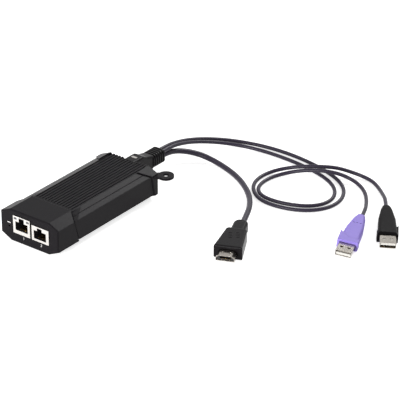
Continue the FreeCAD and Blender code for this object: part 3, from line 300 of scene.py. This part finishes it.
# Injection moulded plastic: spark-eroded grain, slow colour drift, and a painted highlight that makes
# the edges a little lighter.
def mouldedPlastic(name, look):
    material, tree, shader = startMaterial(name, IOR=look["ior"], Specular_IOR_Level=look["gloss"])
    place = objectPlace(tree)
    grain = addNoise(tree, place, look["grain"], detail=3.0, roughness=0.6)
    shade = blendShades(tree, look, addNoise(tree, place, look["drift"]))
    corner = roundedNormal(tree, look["edge"])
    flat = addNode(tree, "ShaderNodeNewGeometry").outputs["Normal"]
    facing = addNode(tree, "ShaderNodeVectorMath", {"operation": "DOT_PRODUCT"}, {0: corner, 1: flat})
    # painted highlight: where the rounded normal turns away from the face, the colour is mixed towards
    # a lighter shade
    paintedEdgeHighlight = addNode(tree, "ShaderNodeMapRange",
                     {"From Min": 0.99, "From Max": 0.75, "To Min": 0.0, "To Max": look["edgeHighlight"]},
                     {"Value": facing.outputs["Value"]})
    shadeAndEdgeHighlight = addNode(tree, "ShaderNodeMix", {"data_type": "RGBA", 7: linear(look["colourEdgeHighlight"])},
                   {0: paintedEdgeHighlight.outputs["Result"], 6: shade})
    tree.links.new(shadeAndEdgeHighlight.outputs[2], shader.inputs["Base Color"])
    varyRoughness(tree, shader, grain, look["roughness"])
    raisePattern(tree, shader, grain, look["depth"], relief["grain"], corner)
    return material


# Flexible PVC: a satin skin whose fine pores keep the highlights soft.
def softJacket(name, look):
    material, tree, shader = startMaterial(name, IOR=1.52, Specular_IOR_Level=look["gloss"],
                                           Sheen_Weight=look["sheen"], Sheen_Roughness=0.5)
    place = objectPlace(tree)
    pores = addNoise(tree, place, look["pores"], detail=4.0, roughness=0.55)
    shade = blendShades(tree, look, addNoise(tree, place, look["drift"]))
    tree.links.new(shade, shader.inputs["Base Color"])
    varyRoughness(tree, shader, pores, look["roughness"])
    raisePattern(tree, shader, pores, look["depth"], relief["pores"])
    return material


# Rolled or drawn sheet under plating: fine streaks one way, a cloudy shade and rounded edges.
def platedMetal(name, look):
    material, tree, shader = startMaterial(name, Metallic=1.0, Anisotropic=look["anisotropy"])
    place = objectPlace(tree)
    stretched = addNode(tree, "ShaderNodeMapping", {"Scale": look["streak"]}, {"Vector": place})
    streaks = addNoise(tree, stretched.outputs["Vector"], look["grain"], detail=3.0, roughness=0.6)
    shade = blendShades(tree, look, addNoise(tree, place, look["cloud"]))
    tree.links.new(shade, shader.inputs["Base Color"])
    varyRoughness(tree, shader, streaks, look["roughness"])
    raisePattern(tree, shader, streaks, look["depth"], relief["streaks"],
                 roundedNormal(tree, look["edge"]))
    return material


# Frosted polycarbonate: a milky shade with small flow marks under a smooth skin.
def lightGuide(name, look):
    material, tree, shader = startMaterial(name, IOR=1.585, Coat_Weight=0.3, Coat_Roughness=0.15)
    flow = addNoise(tree, objectPlace(tree), look["flow"])
    tree.links.new(blendShades(tree, look, flow), shader.inputs["Base Color"])
    varyRoughness(tree, shader, flow, look["roughness"], span=(0, 1))
    return material


# Glass-fibre board under green lacquer: its weave shows below raised copper runs.
def solderMask(name, look):
    material, tree, shader = startMaterial(name, IOR=1.5, Coat_Weight=0.6, Coat_Roughness=0.12,
                                           Roughness=look["roughness"])
    place = objectPlace(tree)
    weave = addNode(tree, "ShaderNodeTexWave",
                    {"wave_type": "BANDS", "bands_direction": "DIAGONAL",
                     "Scale": perMillimetre(look["weave"]), "Distortion": 0.4}, {"Vector": place})
    runs = addNode(tree, "ShaderNodeTexBrick",
                   {"Scale": perMillimetre(look["runs"]), "Mortar Size": 0.035, "Brick Width": 1.4,
                    "Row Height": 0.22, "Color1": linear(look["colour"]),
                    "Color2": linear(look["colour"]), "Mortar": linear(look["copper"])},
                   {"Vector": place})
    shade = addNode(tree, "ShaderNodeMix",
                    {"data_type": "RGBA", "blend_type": "MULTIPLY", 0: look["weaveShare"]},
                    {6: runs.outputs["Color"], 7: weave.outputs["Color"]})
    tree.links.new(shade.outputs[2], shader.inputs["Base Color"])
    raisePattern(tree, shader, runs.outputs["Fac"], look["depth"], relief["copper"])
    return material


# Pad-printed ink, slightly uneven where the pad lifted.
def printedInk(name, look):
    material, tree, shader = startMaterial(name, IOR=1.48)
    speckle = addNoise(tree, objectPlace(tree), look["speckle"])
    tree.links.new(blendShades(tree, look, speckle), shader.inputs["Base Color"])
    varyRoughness(tree, shader, speckle, look["roughness"], span=(0, 1))
    return material


# Sizes of grain, drift, pores and edges are in millimetres. Eroded ABS has a grain of about 0.1 mm,
# drawn coarser here to show.
finishes = {
    # a dull black that picks out the ribs by a painted highlight along their edges
    "case": mouldedPlastic("moulded_abs_black", {
        "colour": "#131114", "colourHigh": "#1a181b", "colourEdgeHighlight": "#4a484c",
        "grain": 0.28, "drift": 22, "edge": 0.5, "edgeHighlight": 0.6, "depth": 0.25,
        "roughness": (0.30, 0.41), "ior": 1.53, "gloss": 0.06}),
    # plain black, glossier than the housing, so that the jacks' mouths read as a part of their own
    "insert": mouldedPlastic("moulded_pbt_black", {
        "colour": "#131214", "colourHigh": "#1a191b", "colourEdgeHighlight": "#2a292c",
        "grain": 0.18, "drift": 9, "edge": 0.12, "edgeHighlight": 0.3, "depth": 0.2,
        "roughness": (0.40, 0.52), "ior": 1.6, "gloss": 0.5}),
    # chalky dark grey
    "package": mouldedPlastic("moulded_epoxy_package", {
        "colour": "#1b1b1d", "colourHigh": "#242427", "colourEdgeHighlight": "#353539",
        "grain": 0.12, "drift": 6, "edge": 0.15, "edgeHighlight": 0.3, "depth": 0.3,
        "roughness": (0.5, 0.65), "ior": 1.53, "gloss": 0.5}),
    # warm, slightly waxy white
    "nylon": mouldedPlastic("moulded_natural_nylon", {
        "colour": "#d9d3c0", "colourHigh": "#e3ddcc", "colourEdgeHighlight": "#efeadd",
        "grain": 0.2, "drift": 8, "edge": 0.15, "edgeHighlight": 0.3, "depth": 0.15,
        "roughness": (0.4, 0.5), "ior": 1.53, "gloss": 0.5}),
    # clean off-white inside the bright shells
    "tongue": mouldedPlastic("moulded_white_lcp", {
        "colour": "#dedbd4", "colourHigh": "#e8e6e0", "colourEdgeHighlight": "#f2f0eb",
        "grain": 0.2, "drift": 8, "edge": 0.12, "edgeHighlight": 0.3, "depth": 0.15,
        "roughness": (0.4, 0.52), "ior": 1.53, "gloss": 0.5}),
    # bluish black with a long, soft highlight along the cord
    "cord": softJacket("extruded_pvc_jacket", {
        "colour": "#221c2b", "colourHigh": "#2d2639", "pores": 0.5, "drift": 14, "depth": 0.1,
        "roughness": (0.32, 0.42), "sheen": 0.04, "gloss": 0.25}),
    # deep black with a satin highlight
    "rubber": softJacket("overmoulded_black_pvc", {
        "colour": "#121012", "colourHigh": "#191719", "pores": 0.35, "drift": 14, "depth": 0.15,
        "roughness": (0.26, 0.36), "sheen": 0.0, "gloss": 0.09}),
    # the same black rubber with hardly any highlight, its colour darkened further as painted shade
    "mattShadedRubber": softJacket("overmoulded_matt_black_pvc_painted_shade", {
        "colour": "#0e0c0e", "colourHigh": "#151315", "pores": 0.35, "drift": 14, "depth": 0.15,
        "roughness": (0.3, 0.4), "sheen": 0.0, "gloss": 0.04}),
    # even violet, soft at the edges
    "purple": softJacket("overmoulded_purple_pvc", {
        "colour": "#9380dc", "colourHigh": "#a08de6", "pores": 0.35, "drift": 14, "depth": 0.2,
        "roughness": (0.42, 0.54), "sheen": 0.05, "gloss": 0.25}),
    # warm grey mirror with faint draw lines
    "nickel": platedMetal("nickel_plated_steel", {
        "colour": "#96918a", "colourHigh": "#a39e97", "grain": 0.25, "streak": (1, 0.15, 1),
        "cloud": 4, "edge": 0.12, "depth": 0.12, "roughness": (0.14, 0.22), "anisotropy": 0.2}),
    # the brightest metal, which frames the jacks
    "tin": platedMetal("tin_plated_shield", {
        "colour": "#dad7d2", "colourHigh": "#e6e3df", "grain": 0.25, "streak": (1, 1, 0.15),
        "cloud": 4, "edge": 0.12, "depth": 0.12, "roughness": (0.18, 0.3), "anisotropy": 0.2}),
    # dull bluish grey
    "zinc": platedMetal("zinc_plated_steel", {
        "colour": "#a9aaae", "colourHigh": "#bdbec2", "grain": 0.3, "streak": (1, 1, 1),
        "cloud": 4, "edge": 0.12, "depth": 0.12, "roughness": (0.3, 0.45), "anisotropy": 0.0}),
    # soft grey with upright draw lines
    "can": platedMetal("drawn_aluminium_can", {
        "colour": "#c8c9cb", "colourHigh": "#d6d7d9", "grain": 0.2, "streak": (1, 1, 0.1),
        "cloud": 4, "edge": 0.12, "depth": 0.12, "roughness": (0.28, 0.4), "anisotropy": 0.3}),
    # even satin grey, brushed along its width
    "plate": platedMetal("satin_aluminium_plate", {
        "colour": "#9fa0a3", "colourHigh": "#acadb0", "grain": 0.2, "streak": (0.08, 1, 1),
        "cloud": 4, "edge": 0.12, "depth": 0.12, "roughness": (0.34, 0.48), "anisotropy": 0.3}),
    # brownish gold glint deep in the mouths
    "gold": platedMetal("gold_flashed_bronze", {
        "colour": "#b08a45", "colourHigh": "#c39d58", "grain": 0.15, "streak": (1, 0.2, 1),
        "cloud": 4, "edge": 0.12, "depth": 0.12, "roughness": (0.18, 0.3), "anisotropy": 0.1}),
    # milky grey window
    "guide": lightGuide("frosted_polycarbonate", {
        "colour": "#a9a5a0", "colourHigh": "#bab6b1", "flow": 0.8, "roughness": (0.28, 0.42)}),
    # lamps that are off, seen as smoky grey
    "lens": lightGuide("smoked_polycarbonate", {
        "colour": "#34363a", "colourHigh": "#43454a", "flow": 0.8, "roughness": (0.28, 0.42)}),
    # dark green under lacquer, with lighter runs
    "board": solderMask("solder_masked_glass_fibre", {
        "colour": "#0f4526", "copper": "#1f6b3b", "weave": 3.2, "weaveShare": 0.25,
        "runs": 6.0, "depth": 0.4, "roughness": 0.34}),
    # slightly grey white that doesn't glare
    "ink": printedInk("pad_printed_white_ink", {
        "colour": "#d6d4d2", "colourHigh": "#efeeec", "speckle": 0.15, "roughness": (0.4, 0.6)}),
}

wearers = {
    "case": ["front_cap", "rear_cap", "top_cover", "bottom_cover"],
    "insert": ["jack_1_insert", "jack_2_insert", "reset_switch", "reset_plunger", "video_plug_insert"],
    "package": ["video_chip", "network_chip", "line_transformer"],
    "nylon": ["cable_header"],
    "tongue": ["purple_plug_tongue", "black_plug_tongue"],
    "rubber": ["cable_gland", "video_plug_grip"],
    "mattShadedRubber": ["black_plug_grip"],
    "purple": ["purple_plug_grip"],
    "nickel": ["video_plug_shell", "purple_plug_shell", "black_plug_shell", "clock_crystal"],
    "tin": ["jack_1_shield", "jack_2_shield"],
    "zinc": ["cover_screws"],
    "can": ["supply_capacitors"],
    "gold": ["jack_1_contacts", "jack_2_contacts", "video_plug_contacts", "purple_plug_contacts",
             "black_plug_contacts"],
    "guide": ["indicator_window"],
    "lens": ["jack_1_lamps"],
    "board": ["main_board"],
}
for finish, names in wearers.items():
    for name in names:
        for slot in softPieces.get(name, nodes[name]).material_slots:
            slot.material = finishes[finish]
for piece in cordPieces:
    piece.data.materials.append(finishes["cord"])
print("finishes made:", len(finishes))


# Printed and moulded marks

printing = {
    "size": 0.00266,       # of the typeface, whose numbers stand 1.9 mm tall
    "swell": 0.00003,      # makes the strokes bolder
    "thickness": 0.00004,
    "front": -0.058,       # the jack face
    "numbers": {"jackNumber_1": ("1", -0.0055, 0.0047), "jackNumber_2": ("2", 0.0113, 0.0045)},
    "bar": (-0.0194, 0.0148, 0.0033, 0.0007),  # middle across, height, length, width
    "barThickness": 0.00006,
}
gripDashes = {
    "plugStart": (0.10632, 0.05707, 0.0106),  # cord end of the video plug, at the grip's top
    "yaw": 23.3,
    "middle": (0.0273, 0.0004),  # along and across the plug
    "slant": 14,                 # degrees, as seen in the photograph
    "along": (-0.0034, 0, 0.0034),
    "across": (-0.0028, 0.0028),
    "length": 0.0028,
    "width": 0.0008,
    "height": 0.00025,
    "sunk": 0.00005,             # into the grip, so that no rim hangs free
}
slotShadePlates = {  # black plates on the floors of the three slots of each flat grip, painted shade that darkens the slots
    "along": 0.0146,
    "across": (-0.0025, 0, 0.0025),
    "floor": 0.00765,
    "length": 0.00085,
    "width": 0.0015,
    "corner": 0.0002125,
    "height": 0.0003,
}
blankPlate = {
    "middle": (0, 0.0095, 0.0009),  # on the bottom cover, between the screw rows
    "width": 0.026,
    "length": 0.040,
    "corner": 0.0015,
    "thickness": 0.00015,
}
plateRim = {"steps": 6, "ofThickness": 0.4, "ofCorner": 0.5, "shoulder": 0.3}  # shares of its size


def ridePiece(piece, finish):
    bpy.context.scene.collection.objects.link(piece)
    piece.data.materials.append(finishes[finish])
    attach(piece, module)


# A flat piece with rounded corners and a softened rim, standing on the plane that turn sets.
def addPlate(name, length, width, corner, thickness, turn, finish):
    mesh = bmesh.new()
    soft = min(thickness * plateRim["ofThickness"], corner * plateRim["ofCorner"])
    shoulder = soft * plateRim["shoulder"]
    rings = []
    for inset, up in ((0, 0), (0, thickness - soft), (shoulder, thickness - shoulder),
                      (soft, thickness)):
        ring = []
        for side, (signX, signY) in enumerate(((1, 1), (-1, 1), (-1, -1), (1, -1))):
            for i in range(plateRim["steps"] + 1):
                angle = math.pi / 2 * (side + i / plateRim["steps"])
                ring.append(mesh.verts.new(turn @ Vector((
                    signX * (length / 2 - corner) + (corner - inset) * math.cos(angle),
                    signY * (width / 2 - corner) + (corner - inset) * math.sin(angle), up))))
        rings.append(ring)
    for low, high in zip(rings, rings[1:]):
        for i in range(len(low)):
            j = (i + 1) % len(low)
            mesh.faces.new((low[i], low[j], high[j], high[i]))
    mesh.faces.new(rings[-1])
    mesh.faces.new(rings[0][::-1])
    data = bpy.data.meshes.new(name)
    mesh.to_mesh(data)
    mesh.free()
    ridePiece(bpy.data.objects.new(name, data), finish)


def printMarks(look):
    for name, (digit, across, up) in look["numbers"].items():
        text = bpy.data.curves.new(name, "FONT")
        text.body = digit
        text.size = look["size"]
        text.extrude = look["thickness"]
        text.offset = look["swell"]
        text.align_x = "CENTER"
        piece = bpy.data.objects.new(name, text)
        piece.location = (across, look["front"] - look["thickness"] / 2, up)
        piece.rotation_euler = (math.radians(90), 0, 0)
        ridePiece(piece, "ink")
    across, up, length, width = look["bar"]
    front = (Matrix.Translation((across, look["front"], up))
             @ Matrix.Rotation(math.radians(90), 4, "X"))
    addPlate("resetMark", length, width, width / 2, look["barThickness"], front, "ink")


def raiseDashes(look):
    plug = (Matrix.Translation(look["plugStart"])
            @ Matrix.Rotation(math.radians(look["yaw"] - 90), 4, "Z")
            @ Matrix.Translation((*look["middle"], 0))
            @ Matrix.Rotation(math.radians(look["slant"]), 4, "Z"))
    for column, across in enumerate(look["across"]):
        for row, along in enumerate(look["along"]):
            spot = plug @ Matrix.Translation((along, across, -look["sunk"]))
            addPlate(f"gripDash_{column}_{row}", look["width"], look["length"], look["width"] / 2,
                     look["height"], spot, "rubber")


# Puts a black plate on the floor of each slot of the flat grips, as painted shade in the slots.
def addSlotShade(look):
    for node in ("purple_plug_grip", "black_plug_grip"):
        plug = plugFrame(mouldings[node]["plug"])
        for i, across in enumerate(look["across"]):
            spot = plug @ Matrix.Translation((look["along"], across, look["floor"]))
            addPlate(f"{node}_slot_shade_{i}", look["length"], look["width"], look["corner"],
                     look["height"], spot, "insert")


def addBlankPlate(look):
    under = Matrix.Translation(look["middle"]) @ Matrix.Rotation(math.pi, 4, "X")
    addPlate("blankPlate", look["width"], look["length"], look["corner"], look["thickness"], under,
             "plate")


printMarks(printing)
raiseDashes(gripDashes)
addSlotShade(slotShadePlates)
addBlankPlate(blankPlate)
print("marks, dashes, slots and blank plate made")


# Studio

studio = {
    "worldStrength": 0.3,
    "lamps": [
        # name, place, aimed at, width, height, watts
        ("rearSoftbox", (0.05, 1.05, 1.0), (0.03, 0.03, 0.0), 0.7, 0.35, 10.0),
        ("leftSoftbox", (-0.9, -0.8, 0.9), (0.03, 0.03, 0.0), 0.6, 0.6, 2.5),
        ("frontSoftbox", (0.1, -1.25, 0.32), (0.04, 0.03, 0.0), 0.7, 0.4, 17.0),
    ],
    "floorColour": "#f2f1f0",
    "floorRoughness": 0.9,
    "floorGloss": 0.1,
    "floorReach": 3,
    "floorHeight": -0.0001,  # just under the part, so that no two faces share a plane
    "floorLift": 0.72,       # what the floor shows the camera on top of its own shade
}


# 1 for what the camera sees, also by way of metal or glass, and 0 for light that falls on the part.
def seenDirectly(tree):
    ray = addNode(tree, "ShaderNodeLightPath")
    mirrored = addNode(tree, "ShaderNodeMath", {"operation": "MAXIMUM"},
                       {0: ray.outputs["Is Glossy Ray"], 1: ray.outputs["Is Transmission Ray"]})
    seen = addNode(tree, "ShaderNodeMath", {"operation": "MAXIMUM"},
                   {0: ray.outputs["Is Camera Ray"], 1: mirrored.outputs[0]})
    return seen.outputs[0]


def addLamps(settings):
    for name, place, aim, width, height, watts in settings["lamps"]:
        data = bpy.data.lights.new(name, "AREA")
        data.shape = "RECTANGLE"
        data.size = width
        data.size_y = height
        data.energy = watts
        lamp = bpy.data.objects.new(name, data)
        lamp.location = place
        lamp.rotation_euler = (Vector(aim) - Vector(place)).to_track_quat("-Z", "Y").to_euler()
        bpy.context.scene.collection.objects.link(lamp)
    world = bpy.data.worlds.new("studioWorld")
    bpy.context.scene.world = world
    world.use_nodes = True
    tree = world.node_tree
    tree.nodes.clear()
    seen = addNode(tree, "ShaderNodeMix", {"data_type": "FLOAT", 2: settings["worldStrength"], 3: 1.0},
                   {0: seenDirectly(tree)})
    white = addNode(tree, "ShaderNodeBackground", {"Color": (1, 1, 1, 1)},
                    {"Strength": seen.outputs[0]})
    addNode(tree, "ShaderNodeOutputWorld", {}, {"Surface": white.outputs["Background"]})


def addFloor(settings):
    data = bpy.data.meshes.new("studioFloor")
    low, far = settings["floorHeight"], settings["floorReach"]
    corners = [(-far, -far, low), (far, -far, low), (far, far, low), (-far, far, low)]
    data.from_pydata(corners, [], [(0, 1, 2, 3)])
    floor = bpy.data.objects.new("studioFloor", data)
    bpy.context.scene.collection.objects.link(floor)
    material, tree, shader = startMaterial("matt_paper_floor", Roughness=settings["floorRoughness"],
                                           Specular_IOR_Level=settings["floorGloss"],
                                           Base_Color=linear(settings["floorColour"]))
    lift = addNode(tree, "ShaderNodeMath", {"operation": "MULTIPLY", 1: settings["floorLift"]},
                   {0: seenDirectly(tree)})
    glow = addNode(tree, "ShaderNodeEmission", {"Color": (1, 1, 1, 1)}, {"Strength": lift.outputs[0]})
    total = addNode(tree, "ShaderNodeAddShader", {},
                    {0: shader.outputs["BSDF"], 1: glow.outputs["Emission"]})
    tree.links.new(total.outputs[0], tree.nodes["Material Output"].inputs["Surface"])
    data.materials.append(material)


addLamps(studio)
addFloor(studio)
bpy.context.scene.view_settings.view_transform = "Standard"
print("studio lit")
